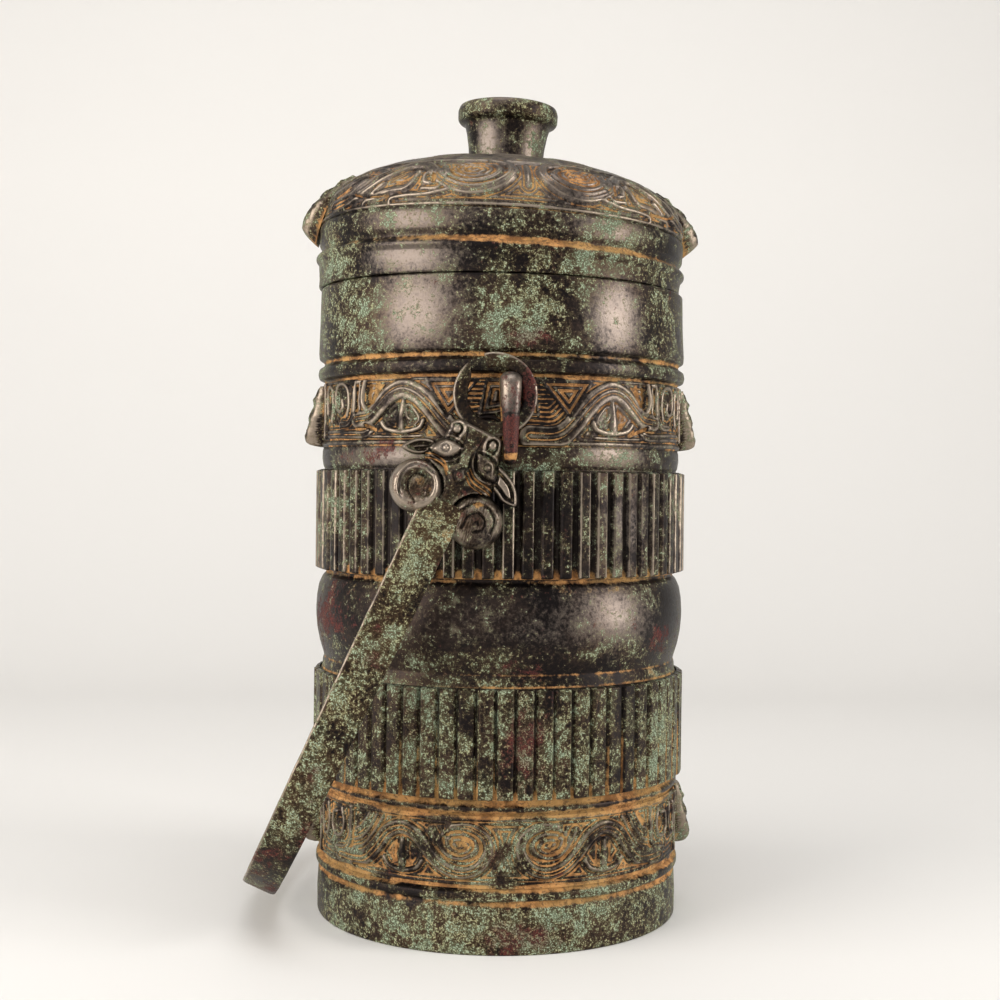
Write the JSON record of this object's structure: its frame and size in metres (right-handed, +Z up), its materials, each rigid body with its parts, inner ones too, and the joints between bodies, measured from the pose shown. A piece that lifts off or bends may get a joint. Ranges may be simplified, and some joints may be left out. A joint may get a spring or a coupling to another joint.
{
  "type": "lidded wine jar with bail handle",
  "caption": "Tall tube-shaped bronze jar with ribbed bands, a domed lid with a knob and a swinging strap handle.",
  "frame": {"origin": "on the floor, in the middle of the ring foot", "axes": "+Z up along the jar's axis, -Y towards the front lug, +X to the right seen from the front"},
  "size_m": [0.1828, 0.1796, 0.3271],
  "materials": {
    "body_bronze": "patinated bronze, satin",
    "lid_bronze": "patinated bronze, satin",
    "bail_bronze": "green patina on bronze, satin"
  },
  "bodies": {
    "jar": {"jar_body": "body_bronze", "lid": "lid_bronze"},
    "bail": {"bail": "bail_bronze"}
  },
  "joints": [
    {"name": "bail_swing", "type": "hinge", "parent": "jar", "child": "bail", "pos_m": [-0.0057, 0, 0.2044], "axis": [0, 1, 0], "range_deg": [0, 268]}
  ]
}
